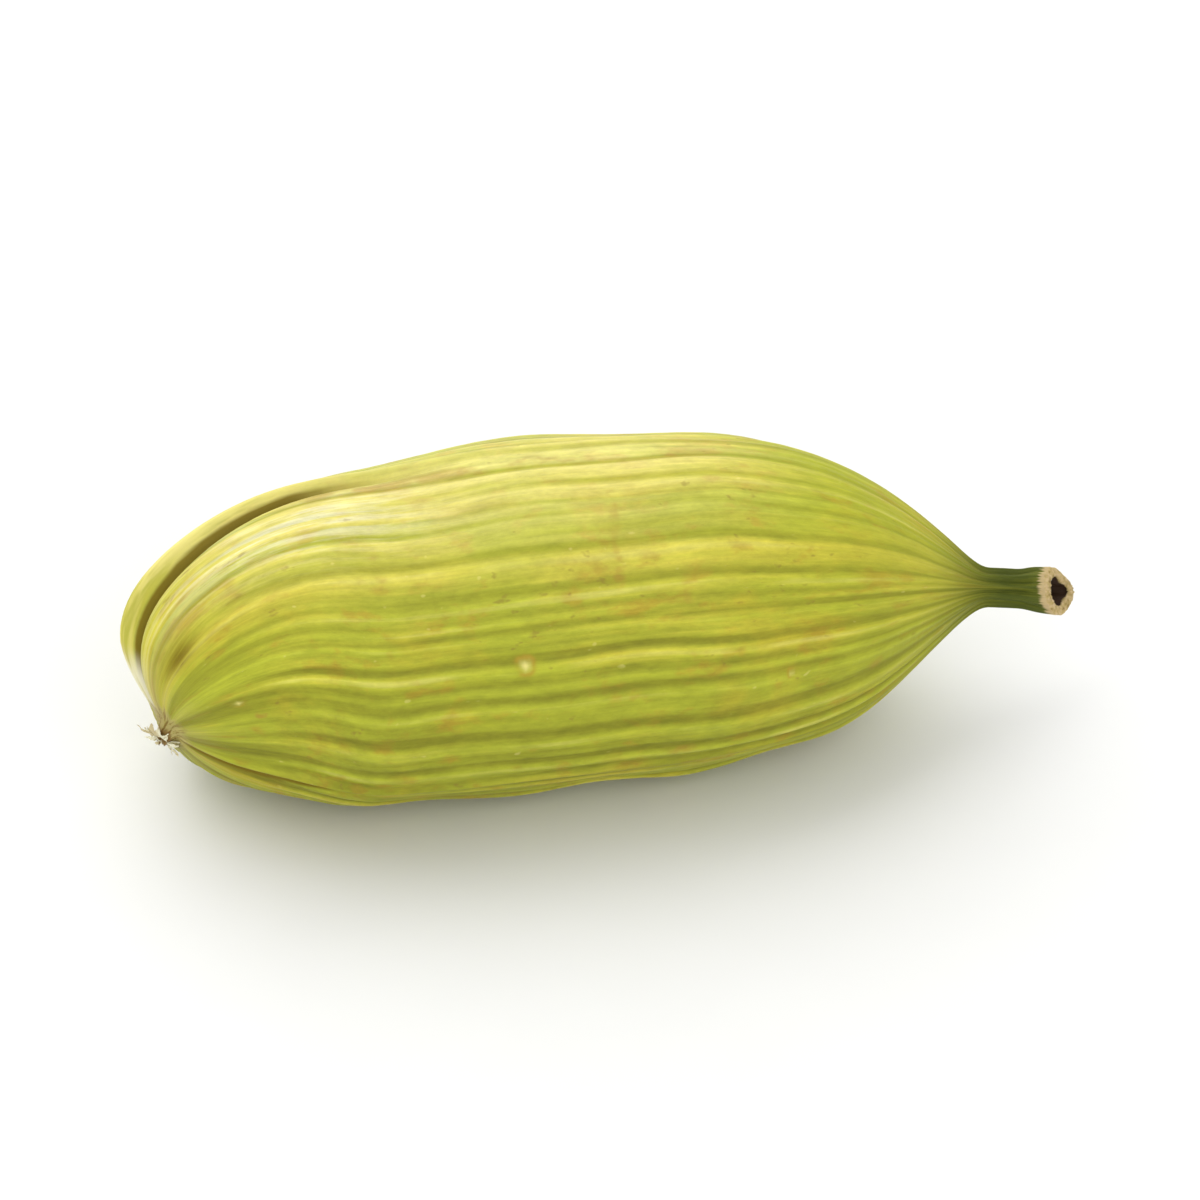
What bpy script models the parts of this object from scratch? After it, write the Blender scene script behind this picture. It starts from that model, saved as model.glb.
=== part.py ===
"""A green cardamom pod lying on one of its three faces, in metres with +Z up.

The husk is one closed body. A turned outline gives its length and girth, and a formula then
gives every point of it the pod's rounded three-sided section, its ribs, its three keels, the
bumps of the seeds below, the arch of its back and the bend of its neck.
The blossom end is at -X, the neck at +X, and the keel on top leans a little towards +Y.
"""

import math

import bmesh
import bpy

MM = 0.001

# Outline, with lengths measured along the pod from the tip of the blossom end
GIRTH_RADIUS = 3.2 * MM
CAP_LENGTH = 4.2 * MM
TAPER_START = 5.8 * MM
TAPER_LENGTH = 10.0 * MM
TAPER_POWER = 4
TAPER_ROUNDING = 1.15
POD_LENGTH = 17.4 * MM

# Withered flower base at the tip, which lies low on the front of the rounded end
NUB_RADIUS = 0.26 * MM
NUB_HEIGHT = 0.16 * MM
TIP_TURN = math.radians(18)
TIP_TURN_ANGLE = math.radians(112)

# Neck, where the pod broke from its stalk at a slant
NECK_START = 10.0 * MM
NECK_GROWTH = 3.0 * MM
NECK_RADIUS = 0.32 * MM
NECK_BLEND = 1.8
RIM_RADIUS = 0.41 * MM
RIM_LENGTH = 1.0 * MM
RIM_ROUNDING = 0.07 * MM
HOLLOW_RADIUS = 0.22 * MM
HOLLOW_FOOT_RADIUS = 0.17 * MM
HOLLOW_WALL = 0.38 * MM
HOLLOW_DEPTH = 0.52 * MM
CUT_BACK = 0.27 * MM
CUT_SLANT = 0.8
CUT_ANGLE = math.radians(45)
CUT_REACH = 1.6 * MM

# Section: a rounded triangle with a keel at each corner
KEEL_COUNT = 3
KEEL_LEAN = math.radians(8)
FACE_SPREAD = math.radians(11)
BODY_LOBE = 0.035
NECK_LOBE = 0.09
LOBE_CHANGE_START = 12.8 * MM

# Ribs, of which one in each third of the girth is a keel
RIB_COUNT = 45
STEPS_A_RIB = 3
RIB_HEIGHT = 0.10 * MM
RIB_SHARE = 0.23
RIB_MIDDLE = 0.6
RIB_UNEVENNESS = 0.22
RIB_PHASE_STEP = 2.4
RIB_DRIFT = 1.3
RIB_DRIFT_LENGTH = 2.1 * MM
NECK_RIB_COUNT = 12
NECK_RIB_HEIGHT = 0.035 * MM
NECK_RIB_START = 14.3 * MM

# Keels, which stand highest beside their furrows near the blossom end
KEEL_HEIGHT = 0.05 * MM
KEEL_FADE_START = 13.8 * MM
KEEL_END_HEIGHT = (0.18 * MM, 0.11 * MM, 0.11 * MM)
FURROW_END_DEPTH = (0.30 * MM, 0.13 * MM, 0.10 * MM)
KEEL_END_START = 1.7 * MM
KEEL_END_REACHES = (2.9 * MM, 1.9 * MM, 2.9 * MM)
KEEL_TIP_FADE = 0.45

# Widths and places beside a keel, in widths of a rib, and how much wider they are at the tip
KEEL_WIDTH = 0.3
FURROW_PLACES = (0.37, 0.45, 0.45)
FURROW_WIDTH = 0.19
FURROW_WIDENING = 1.6
FURROW_WIDENING_REACH = 2.2 * MM

# Bumps of the seeds under the husk
SEED_HEIGHTS = (0.08 * MM, 0.15 * MM, 0.06 * MM)
SEED_PITCH = 3.5 * MM
SEED_PHASES = (0.0, 0.17, 0.9)
SEED_RISE_END = 6.0 * MM
SEED_FADE_START = 10.8 * MM
SEED_FADE_END = 13.6 * MM

# Soft dents where the husk has dried in, and one swelling: depth, station, half length,
# angle from the top keel towards the front, and half angle
DENTS = (
    (0.34 * MM, 3.6 * MM, 1.9 * MM, math.radians(-32), math.radians(50)),
    (0.13 * MM, 2.4 * MM, 1.8 * MM, math.radians(148), math.radians(35)),
    (0.11 * MM, 9.9 * MM, 2.0 * MM, math.radians(-25), math.radians(35)),
    (-0.14 * MM, 13.2 * MM, 1.5 * MM, math.radians(148), math.radians(40)),
)

# Course of the axis, away from the straight line through both ends
ARCH_HEIGHT = 0.98 * MM
ARCH_FALL_START = 7.6 * MM
ARCH_FALL = 0.78
OVERHANG = 0.56
OVERHANG_REACH = 0.85 * MM
OVERHANG_ONSET = 0.4 * MM
NECK_TURN = 0.22 * MM
NECK_TURN_START = 13.6 * MM
END_TWIST = math.radians(16)
END_TWIST_REACH = 4.5 * MM
RIB_WANDER = math.radians(1.6)
RIB_WANDER_LENGTH = 2.9 * MM
RIB_WANDER_PHASE = 0.7
RIB_CROWDING = math.radians(1.1)
RIB_CROWDS = 7
RIB_CROWD_PHASE = 1.0

# Flat spot that it rests on
REST_DEPTH = 0.11 * MM
REST_STATION = 6.8 * MM
REST_HALF_LENGTH = 4.0 * MM
REST_HALF_ANGLE = math.radians(22)

# Number of rings along each stretch of the outline
NUB_RINGS = 2
CAP_RINGS = 10
BODY_RINGS = 15
SHOULDER_RINGS = 7
NECK_RINGS = 4
RIM_RINGS = 3
SHOULDER_START = 13.4 * MM
SHOULDER_END = 16.1 * MM

# Share of the skin's radius above which a point takes the ribs and keels
SKIN_SHARE = 0.97
SHARP_ANGLE = math.radians(50)
MERGE_DISTANCE = 1e-7

HUSK_COLOUR = (0.49, 0.46, 0.07, 1.0)
HUSK_ROUGHNESS = 0.55


def smooth_step(low, high, value):
    share = min(max((value - low) / (high - low), 0.0), 1.0)
    return share * share * (3 - 2 * share)


def bell(distance, width):
    return math.exp(-((distance / width) ** 2))


def cap_share(station):
    """Share of its full girth that the rounded blossom end has reached."""
    short = 1 - min(max(station / CAP_LENGTH, 0.0), 1.0)
    return math.sqrt(1 - short * short)


def body_radius(station):
    taper = max(station - TAPER_START, 0.0) / TAPER_LENGTH
    return GIRTH_RADIUS * cap_share(station) * max(1 - taper**TAPER_POWER, 0.0) ** TAPER_ROUNDING


def neck_radius(station):
    flare = smooth_step(POD_LENGTH - RIM_LENGTH, POD_LENGTH, station)
    grown = smooth_step(NECK_START, NECK_START + NECK_GROWTH, station)
    return grown * (NECK_RADIUS + flare * (RIM_RADIUS - NECK_RADIUS))


def skin_radius(station):
    body = body_radius(station)
    neck = neck_radius(station)
    return (body**NECK_BLEND + neck**NECK_BLEND) ** (1 / NECK_BLEND)


def outline_stations():
    """Stations of the rings on the outer skin, closer together where the outline turns."""
    stations = [CAP_LENGTH * (1 - math.cos(math.pi / 2 * i / CAP_RINGS)) for i in range(1, CAP_RINGS)]
    stretches = (
        (CAP_LENGTH, SHOULDER_START, BODY_RINGS),
        (SHOULDER_START, SHOULDER_END, SHOULDER_RINGS),
        (SHOULDER_END, POD_LENGTH - RIM_ROUNDING, NECK_RINGS),
    )
    for start, end, rings in stretches:
        stations += [start + (end - start) * i / rings for i in range(rings)]
    return stations + [POD_LENGTH - RIM_ROUNDING]


def outline_points():
    """(radius, station) from the blossom tip over the skin and the rim into the neck's hollow."""
    points = []
    for i in range(NUB_RINGS + 1):
        turn = math.pi / 2 * i / (NUB_RINGS + 0.5)
        points.append((NUB_RADIUS * math.sin(turn), -NUB_HEIGHT * math.cos(turn)))
    points += [(skin_radius(station), station) for station in outline_stations()]
    rim_middle = (RIM_RADIUS + HOLLOW_RADIUS) / 2
    rim_half = (RIM_RADIUS - HOLLOW_RADIUS) / 2
    for i in range(1, RIM_RINGS + 1):
        turn = math.pi * i / (RIM_RINGS + 1)
        lift = RIM_ROUNDING * math.sin(turn)
        points.append((rim_middle + rim_half * math.cos(turn), POD_LENGTH - RIM_ROUNDING + lift))
    points.append((HOLLOW_RADIUS, POD_LENGTH - RIM_ROUNDING))
    points.append((HOLLOW_FOOT_RADIUS, POD_LENGTH - HOLLOW_WALL))
    points.append((0.0, POD_LENGTH - HOLLOW_DEPTH))
    return points


def keel_relief(station, angle):
    """Height of the keels and depth of the furrows beside them."""
    on_body = 1 - smooth_step(KEEL_FADE_START, POD_LENGTH, station)
    wider = 1 + FURROW_WIDENING * bell(max(station, 0.0), FURROW_WIDENING_REACH)
    relief = 0.0
    for number in range(KEEL_COUNT):
        near_end = bell(max(station - KEEL_END_START, 0.0), KEEL_END_REACHES[number])
        away = math.remainder(angle - math.tau * number / KEEL_COUNT, math.tau)
        ribs_away = away * RIB_COUNT / math.tau
        crest = bell(ribs_away, KEEL_WIDTH)
        furrow = bell(ribs_away - FURROW_PLACES[number] * wider, FURROW_WIDTH * wider)
        height = KEEL_HEIGHT * on_body + KEEL_END_HEIGHT[number] * near_end
        relief += height * crest - FURROW_END_DEPTH[number] * near_end * furrow
    return relief


def rib_relief(station, angle):
    """Rounded ribs with a narrow groove between them, no two of quite the same height."""
    ribs_round = angle * RIB_COUNT / math.tau
    number = round(ribs_round)
    drift = RIB_DRIFT * math.sin(station / RIB_DRIFT_LENGTH)
    uneven = 1 + RIB_UNEVENNESS * math.sin(RIB_PHASE_STEP * number + drift)
    spacing = math.tau * skin_radius(station) / RIB_COUNT
    height = min(RIB_HEIGHT, RIB_SHARE * spacing)
    ribs = height * (uneven * abs(math.cos(math.pi * ribs_round)) - RIB_MIDDLE)
    on_neck = smooth_step(NECK_RIB_START, POD_LENGTH - RIM_LENGTH, station)
    return ribs + on_neck * NECK_RIB_HEIGHT * math.cos(NECK_RIB_COUNT * angle)


def seed_relief(station, angle):
    """Low swellings in a row along each face, out of step from face to face."""
    face = math.floor(angle / (math.tau / KEEL_COUNT)) % KEEL_COUNT
    across = abs(math.sin(angle * KEEL_COUNT / 2))
    on_body = smooth_step(0, SEED_RISE_END, station)
    on_body *= 1 - smooth_step(SEED_FADE_START, SEED_FADE_END, station)
    swell = math.cos(math.tau * (station / SEED_PITCH + SEED_PHASES[face]))
    return SEED_HEIGHTS[face] * on_body * across * swell


def dent_relief(station, turned):
    """The dents where the husk has dried in, and the swelling in front of the neck."""
    relief = 0.0
    for depth, middle, half_length, angle, half_angle in DENTS:
        away = math.remainder(turned - angle, math.tau)
        relief -= depth * bell(station - middle, half_length) * bell(away, half_angle)
    return relief


def turned_angle(station, angle):
    """Where an angle of the even section lies on the grown pod, whose front face is the widest."""
    wander = math.sin(station / RIB_WANDER_LENGTH) * math.sin(2 * angle + RIB_WANDER_PHASE)
    turned = angle - FACE_SPREAD * math.cos(angle) + RIB_WANDER * wander
    turned += RIB_CROWDING * math.sin(RIB_CROWDS * angle + RIB_CROWD_PHASE)
    return turned - END_TWIST * (1 - smooth_step(0, END_TWIST_REACH, station))


def rest_share(station, turned):
    """1 at the middle of the flat spot, fading to 0 round it, so that no groove crosses it."""
    away = math.remainder(turned - (math.pi + KEEL_LEAN), math.tau)
    return bell(station - REST_STATION, REST_HALF_LENGTH) * bell(away, REST_HALF_ANGLE)


def cut_back(station, up, front):
    """How far the slanting break lies back from a square end, towards the end of the neck."""
    near_end = smooth_step(POD_LENGTH - CUT_REACH, POD_LENGTH - RIM_ROUNDING, station)
    towards = up * math.cos(CUT_ANGLE) + front * math.sin(CUT_ANGLE)
    return near_end * (CUT_BACK + CUT_SLANT * towards)


def turn_tip(station, up, front):
    """Rolls the rounded end about its middle, so that the ribs meet low on the front of it."""
    ahead = 1 - station / CAP_LENGTH
    turn = TIP_TURN * smooth_step(0, 1, ahead)
    up_share = math.cos(TIP_TURN_ANGLE)
    front_share = math.sin(TIP_TURN_ANGLE)
    out = (up * up_share + front * front_share) / GIRTH_RADIUS
    rolled_ahead = ahead * math.cos(turn) - out * math.sin(turn)
    moved = (out * (math.cos(turn) - 1) + ahead * math.sin(turn)) * GIRTH_RADIUS
    return CAP_LENGTH * (1 - rolled_ahead), up + moved * up_share, front + moved * front_share


def axis_offset(station):
    """How far the axis lies towards the top keel and the front, and its slopes past the cap."""
    fall_length = POD_LENGTH - ARCH_FALL_START
    run = max(station - ARCH_FALL_START, 0.0) / fall_length
    up = ARCH_HEIGHT * (cap_share(station) - ARCH_FALL * run**2)
    up_slope = -2 * ARCH_HEIGHT * ARCH_FALL * run / fall_length
    turn = max(station - NECK_TURN_START, 0.0) / (POD_LENGTH - NECK_TURN_START)
    front = NECK_TURN * turn**2
    front_slope = 2 * NECK_TURN * turn / (POD_LENGTH - NECK_TURN_START)
    return up, up_slope, front, front_slope


def overhang(station, up):
    """How far the back of the blossom end reaches out past the tip."""
    above = (up + math.hypot(up, OVERHANG_ONSET) - OVERHANG_ONSET) / 2
    return OVERHANG * math.exp(-max(station, 0.0) / OVERHANG_REACH) * above


def husk_point(station, radius, angle):
    """Where a point of the turned outline lies on the finished husk."""
    on_neck = smooth_step(LOBE_CHANGE_START, POD_LENGTH, station)
    lobe = BODY_LOBE + on_neck * (NECK_LOBE - BODY_LOBE)
    reach = radius * (1 + lobe * math.cos(KEEL_COUNT * angle))
    turned = turned_angle(station, angle)
    if radius > SKIN_SHARE * skin_radius(station):
        relief = rib_relief(station, angle) + seed_relief(station, angle)
        relief += min(cap_share(station) / KEEL_TIP_FADE, 1.0) * keel_relief(station, angle)
        relief += dent_relief(station, turned)
        reach += relief * (1 - rest_share(station, turned))
    up = reach * math.cos(turned)
    front = reach * math.sin(turned)
    station -= cut_back(station, up, front)
    station, up, front = turn_tip(station, up, front)
    axis_up, up_slope, axis_front, front_slope = axis_offset(station)
    along = station - up * up_slope - front * front_slope
    up += axis_up
    front += axis_front
    along -= overhang(station, up)
    lean_cos = math.cos(KEEL_LEAN)
    lean_sin = math.sin(KEEL_LEAN)
    return (along, up * lean_sin - front * lean_cos, up * lean_cos + front * lean_sin)


def turned_outline(collection):
    """The outline screwed round Z, as a closed mesh that still stands on its blossom tip."""
    points = [(radius, 0.0, -station) for radius, station in outline_points()]
    edges = [(i, i + 1) for i in range(len(points) - 1)]
    mesh = bpy.data.meshes.new("pod_outline")
    mesh.from_pydata(points, edges, [])
    guide = bpy.data.objects.new("pod_outline", mesh)
    collection.objects.link(guide)
    screw = guide.modifiers.new("turn", "SCREW")
    screw.steps = RIB_COUNT * STEPS_A_RIB
    screw.render_steps = screw.steps
    screw.use_merge_vertices = True
    screw.merge_threshold = MERGE_DISTANCE
    graph = bpy.context.evaluated_depsgraph_get()
    turned = bpy.data.meshes.new_from_object(guide.evaluated_get(graph))
    bpy.data.objects.remove(guide)
    return turned


def shape_husk(mesh):
    """Moves every vertex of the turned outline to its place on the husk."""
    half_step = math.tau / (RIB_COUNT * STEPS_A_RIB) / 2
    shaped = bmesh.new()
    shaped.from_mesh(mesh)
    for vertex in shaped.verts:
        radius = math.hypot(vertex.co.x, vertex.co.y)
        angle = math.atan2(vertex.co.y, vertex.co.x) + half_step
        vertex.co = husk_point(-vertex.co.z, radius, angle)
    xs = [vertex.co.x for vertex in shaped.verts]
    ys = [vertex.co.y for vertex in shaped.verts]
    floor = min(vertex.co.z for vertex in shaped.verts) + REST_DEPTH
    middle = ((min(xs) + max(xs)) / 2, (min(ys) + max(ys)) / 2, floor)
    bmesh.ops.translate(shaped, verts=shaped.verts, vec=[-value for value in middle])
    bmesh.ops.recalc_face_normals(shaped, faces=shaped.faces)
    shaped.to_mesh(mesh)
    shaped.free()


def husk_material():
    material = bpy.data.materials.new("husk_green")
    material.use_nodes = True
    shader = material.node_tree.nodes["Principled BSDF"]
    shader.inputs["Base Color"].default_value = HUSK_COLOUR
    shader.inputs["Roughness"].default_value = HUSK_ROUGHNESS
    shader.inputs["Metallic"].default_value = 0.0
    return material


def floor_cutter(collection):
    """A block whose top is the surface that the pod rests on."""
    side = 2 * POD_LENGTH
    bpy.ops.mesh.primitive_cube_add(size=side, location=(0, 0, -side / 2))
    cutter = bpy.context.object
    cutter.name = "rest_cutter"
    cutter.hide_render = True
    cutter.display_type = "WIRE"
    for home in cutter.users_collection:
        home.objects.unlink(cutter)
    collection.objects.link(cutter)
    return cutter


def build_pod(parts, cutters):
    mesh = turned_outline(parts)
    shape_husk(mesh)
    mesh.shade_smooth()
    mesh.set_sharp_from_angle(angle=SHARP_ANGLE)
    mesh.materials.append(husk_material())
    pod = bpy.data.objects.new("pod", mesh)
    parts.objects.link(pod)
    flat = pod.modifiers.new("rest_flat", "BOOLEAN")
    flat.operation = "DIFFERENCE"
    flat.solver = "EXACT"
    flat.object = floor_cutter(cutters)
    return pod


def new_collection(name):
    collection = bpy.data.collections.new(name)
    bpy.context.scene.collection.children.link(collection)
    return collection


def main():
    for thing in list(bpy.data.objects):
        bpy.data.objects.remove(thing)
    parts = new_collection("cardamom_pod")
    cutters = new_collection("cutters")
    build_pod(parts, cutters)


main()
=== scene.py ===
"""Looks of a green cardamom pod that lies on one of its faces, on a pale floor.

The husk is grown by Geometry Nodes: a grid as wide as the pod is round and as long as its
outline is wrapped into the husk by the same formula as the solid's, with finer ribs.
"""

import math
from collections import namedtuple

import bpy
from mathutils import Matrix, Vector


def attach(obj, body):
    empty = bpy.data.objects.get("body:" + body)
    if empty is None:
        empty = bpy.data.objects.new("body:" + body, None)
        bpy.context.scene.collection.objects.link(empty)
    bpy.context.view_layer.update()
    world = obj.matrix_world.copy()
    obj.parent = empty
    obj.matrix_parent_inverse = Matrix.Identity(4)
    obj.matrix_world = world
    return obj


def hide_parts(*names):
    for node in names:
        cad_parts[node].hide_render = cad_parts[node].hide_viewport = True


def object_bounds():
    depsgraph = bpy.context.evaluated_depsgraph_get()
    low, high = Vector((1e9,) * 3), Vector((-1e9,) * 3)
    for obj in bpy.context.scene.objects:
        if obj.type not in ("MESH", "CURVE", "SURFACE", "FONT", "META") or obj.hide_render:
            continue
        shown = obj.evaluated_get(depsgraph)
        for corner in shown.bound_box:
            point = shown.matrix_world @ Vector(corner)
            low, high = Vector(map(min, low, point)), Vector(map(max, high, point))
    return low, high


bl_info = {
    "name": "Cardamom pod",
    "version": (1, 0, 0),
    "blender": (4, 5, 0),
    "location": "3D View > Sidebar > Cardamom",
    "description": "Grows the husk of a dried green cardamom pod and lays it on a pale floor",
    "category": "Add Mesh",
}

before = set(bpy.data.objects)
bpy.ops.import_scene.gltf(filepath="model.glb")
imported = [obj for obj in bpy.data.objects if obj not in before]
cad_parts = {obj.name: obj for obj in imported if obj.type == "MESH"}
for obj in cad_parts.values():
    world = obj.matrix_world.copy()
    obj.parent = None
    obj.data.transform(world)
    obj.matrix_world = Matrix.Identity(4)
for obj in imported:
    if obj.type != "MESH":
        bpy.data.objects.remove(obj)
CAD_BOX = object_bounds()

MM = 0.001
TURN = math.tau

# Outline of the husk, with lengths measured along the pod from the tip of the blossom end
GIRTH_RADIUS = 3.2 * MM
CAP_LENGTH = 4.2 * MM
TAPER_START = 5.8 * MM
TAPER_LENGTH = 10.0 * MM
TAPER_POWER = 4
TAPER_ROUNDING = 1.15
POD_LENGTH = 17.4 * MM
NECK_START = 10.0 * MM
NECK_GROWTH = 3.0 * MM
NECK_RADIUS = 0.32 * MM
NECK_BLEND = 1.8
RIM_RADIUS = 0.41 * MM
RIM_LENGTH = 1.0 * MM
RIM_ROUNDING = 0.07 * MM
CUT_BACK = 0.27 * MM
CUT_SLANT = 0.8
CUT_ANGLE = math.radians(45)
CUT_REACH = 1.6 * MM
SHOULDER_START = 13.4 * MM
SHOULDER_END = 16.1 * MM

# Scar of the flower: radius and height above the tip, from its pit out over its torn edge
SCAR = ((0.0, 0.02), (0.07, 0.03), (0.12, 0.09), (0.17, 0.15), (0.21, 0.16), (0.24, 0.12), (0.26, 0.04))

# Broken end of the neck: radius and depth below the rim of its hollow, and of the pith in it
HOLLOW = ((0.24, 0.08), (0.20, 0.20), (0.17, 0.38), (0.13, 0.44), (0.08, 0.43))
PITH = ((0.05, 0.36), (0.0, 0.33))

# The tip is rolled low on the front of the rounded end
TIP_TURN = math.radians(18)
TIP_TURN_ANGLE = math.radians(112)

# Section, ribs, keels and seed bumps
KEEL_COUNT = 3
RIB_COUNT = 45
KEEL_LEAN = math.radians(8)
FACE_SPREAD = math.radians(11)
BODY_LOBE = 0.035
NECK_LOBE = 0.09
HOLLOW_LOBE = 0.2
LOBE_CHANGE_START = 12.8 * MM
RIB_SHARE = 0.23
RIB_MIDDLE = 0.50
RIB_POWER = 1.4
BROAD_RIBS = 33
JOINED_RIBS = 3
JOINED_REACH = 1.5 * MM
RIB_PHASE_STEP = 2.4
RIB_DRIFT = 1.3
RIB_DRIFT_LENGTH = 2.1 * MM
NECK_RIB_COUNT = 12
NECK_RIB_HEIGHT = 0.035 * MM
NECK_RIB_START = 14.3 * MM
NECK_RIB_WEAR = 0.7
NECK_RIB_WEAR_LENGTH = 0.5 * MM
KEEL_HEIGHT = 0.05 * MM
KEEL_FADE_START = 13.8 * MM
KEEL_END_HEIGHT = (0.18 * MM, 0.11 * MM, 0.11 * MM)
FURROW_END_DEPTH = (0.30 * MM, 0.13 * MM, 0.10 * MM)
KEEL_END_START = 1.7 * MM
KEEL_END_REACHES = (2.9 * MM, 1.9 * MM, 2.9 * MM)
KEEL_TIP_FADE = 0.45
KEEL_WIDTH = 0.3
FURROW_PLACES = (0.44, 0.45, 0.45)
FURROW_WIDTH = 0.19
FURROW_WIDENING = 1.6
FURROW_WIDENING_REACH = 2.2 * MM
SEED_SHARES = (0.53, 1.0, 0.4)
SEED_PITCH = 3.5 * MM
SEED_PHASES = (0.0, 0.17, 0.9)
SEED_RISE_END = 6.0 * MM
SEED_FADE_START = 10.8 * MM
SEED_FADE_END = 13.6 * MM

# Soft dents and one swelling: depth, station, half length, angle from the top keel, half angle
DENTS = (
    (0.34 * MM, 3.6 * MM, 1.9 * MM, math.radians(-32), math.radians(50)),
    (0.13 * MM, 2.4 * MM, 1.8 * MM, math.radians(148), math.radians(35)),
    (0.11 * MM, 9.9 * MM, 2.0 * MM, math.radians(-25), math.radians(35)),
    (-0.14 * MM, 13.2 * MM, 1.5 * MM, math.radians(148), math.radians(40)),
)

# Small relief of the skin
DOT_HEIGHT = 0.05 * MM
DOT_RING_DEPTH = 0.02 * MM
FOLD_DEPTH = 0.07 * MM
TORN_HEIGHT = 0.09 * MM
SCAR_RADIUS = 0.26 * MM
CRINKLE_FULL_RADIUS = 0.7 * MM
CRUMPLE = 0.13 * MM
MERGE_DISTANCE = 0.0001 * MM

# Course of the axis and turn of the ribs
ARCH_HEIGHT = 0.98 * MM
ARCH_FALL_START = 7.6 * MM
ARCH_FALL = 0.78
OVERHANG = 0.56
OVERHANG_REACH = 0.85 * MM
OVERHANG_ONSET = 0.4 * MM
NECK_TURN = 0.22 * MM
NECK_TURN_START = 13.6 * MM
END_TWIST = math.radians(16)
END_TWIST_REACH = 4.5 * MM
RIB_WANDER = math.radians(1.6)
RIB_WANDER_LENGTH = 2.9 * MM
RIB_WANDER_PHASE = 0.7
RIB_CROWDING = math.radians(1.1)
RIB_CROWDS = 7
RIB_CROWD_PHASE = 1.0
REST_STATION = 6.8 * MM
REST_HALF_LENGTH = 4.0 * MM
REST_HALF_ANGLE = math.radians(22)
HUSK_MIDDLE = (8.49954 * MM, 0.10329 * MM, -2.03792 * MM)

# Pale raised dots: station, ribs round from the top keel towards the front, and size
DOTS = ((6.6, 9.8, 0.95), (0.85, 10.5, 0.6), (11.6, 11.3, 0.5))

# Rust-brown marks: station, ribs round, half length, half width and strength
MARKS = (
    (8.6, 4.0, 0.11, 0.50, 0.3),
    (8.5, 5.8, 0.10, 0.60, 0.25),
    (8.5, 6.6, 0.14, 0.35, 0.35),
    (9.7, 7.6, 0.11, 0.55, 0.25),
    (9.5, 14.0, 0.35, 0.12, 0.45),
    (13.3, 12.0, 0.18, 0.12, 0.45),
    (1.1, 11.4, 0.12, 0.10, 0.6),
)

# Short fold in front of the top keel's furrow, also painted dark as the shade in its crease: station and ribs
# round
FOLD = (0.62, 5.6)

# Half the side of the floor, in metres
FLOOR_HALF = 0.6


def smooth_share(low, high, value):
    share = min(max((value - low) / (high - low), 0.0), 1.0)
    return share * share * (3 - 2 * share)


def cap_share(station):
    short = 1 - min(max(station / CAP_LENGTH, 0.0), 1.0)
    return math.sqrt(1 - short * short)


def skin_radius(station):
    """Radius of the husk's skin before its ribs, at a station along the pod."""
    taper = max(station - TAPER_START, 0.0) / TAPER_LENGTH
    body = GIRTH_RADIUS * cap_share(station) * max(1 - taper**TAPER_POWER, 0.0) ** TAPER_ROUNDING
    flare = smooth_share(POD_LENGTH - RIM_LENGTH, POD_LENGTH, station)
    grown = smooth_share(NECK_START, NECK_START + NECK_GROWTH, station)
    neck = grown * (NECK_RADIUS + flare * (RIM_RADIUS - NECK_RADIUS))
    return (body**NECK_BLEND + neck**NECK_BLEND) ** (1 / NECK_BLEND)


def evenly(start, end, count):
    return [start + (end - start) * i / count for i in range(count)]


def outline_points(settings):
    """(radius, station, zone) along the outline: zone 1 on the skin, 0 in the hollow, -1 on the pith."""
    points = [(radius * MM, -height * MM, 1) for radius, height in SCAR]
    cap = [CAP_LENGTH * (1 - math.cos(turn)) for turn in evenly(0, math.pi / 2, settings.cap_rings)]
    stations = [station for station in cap if skin_radius(station) > SCAR[-1][0] * MM]
    stations += evenly(CAP_LENGTH, SHOULDER_START, settings.body_rings)
    stations += evenly(SHOULDER_START, SHOULDER_END, settings.shoulder_rings)
    stations += evenly(SHOULDER_END, POD_LENGTH - RIM_ROUNDING, settings.neck_rings)
    points += [(skin_radius(station), station, 1) for station in stations]
    rim_foot = POD_LENGTH - RIM_ROUNDING
    points.append((RIM_RADIUS, rim_foot, 1))
    inner = HOLLOW[0][0] * MM
    middle = (RIM_RADIUS + inner) / 2
    half = (RIM_RADIUS - inner) / 2
    for turn in evenly(0, math.pi, settings.rim_rings)[1:]:
        points.append((middle + half * math.cos(turn), rim_foot + RIM_ROUNDING * math.sin(turn), 0.5))
    points += [(radius * MM, POD_LENGTH - depth * MM, 0) for radius, depth in HOLLOW]
    return points + [(radius * MM, POD_LENGTH - depth * MM, -1) for radius, depth in PITH]


class Field:
    """A value in a node tree that a formula can use like a number."""

    def __init__(self, socket):
        self.socket = socket

    def __add__(self, other):
        return calculate("ADD", self, other)

    def __radd__(self, other):
        return calculate("ADD", other, self)

    def __sub__(self, other):
        return calculate("SUBTRACT", self, other)

    def __rsub__(self, other):
        return calculate("SUBTRACT", other, self)

    def __mul__(self, other):
        return calculate("MULTIPLY", self, other)

    def __rmul__(self, other):
        return calculate("MULTIPLY", other, self)

    def __truediv__(self, other):
        return calculate("DIVIDE", self, other)

    def __pow__(self, other):
        return calculate("POWER", self, other)

    def __neg__(self):
        return calculate("MULTIPLY", self, -1.0)


def connect(tree, target, value):
    if isinstance(value, Field):
        tree.links.new(value.socket, target)
    elif value is not None:
        target.default_value = value


def add_node(tree, kind, inputs=None, **settings):
    """A new node with its settings and its inputs, given by socket name or number."""
    node = tree.nodes.new(kind)
    for name, value in settings.items():
        setattr(node, name, value)
    for name, value in (inputs or {}).items():
        connect(tree, node.inputs[name], value)
    return node


def calculate(operation, *values):
    tree = next(value.socket.id_data for value in values if isinstance(value, Field))
    node = add_node(tree, "ShaderNodeMath", dict(enumerate(values)), operation=operation)
    return Field(node.outputs[0])


def sine(value):
    return calculate("SINE", value)


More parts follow.
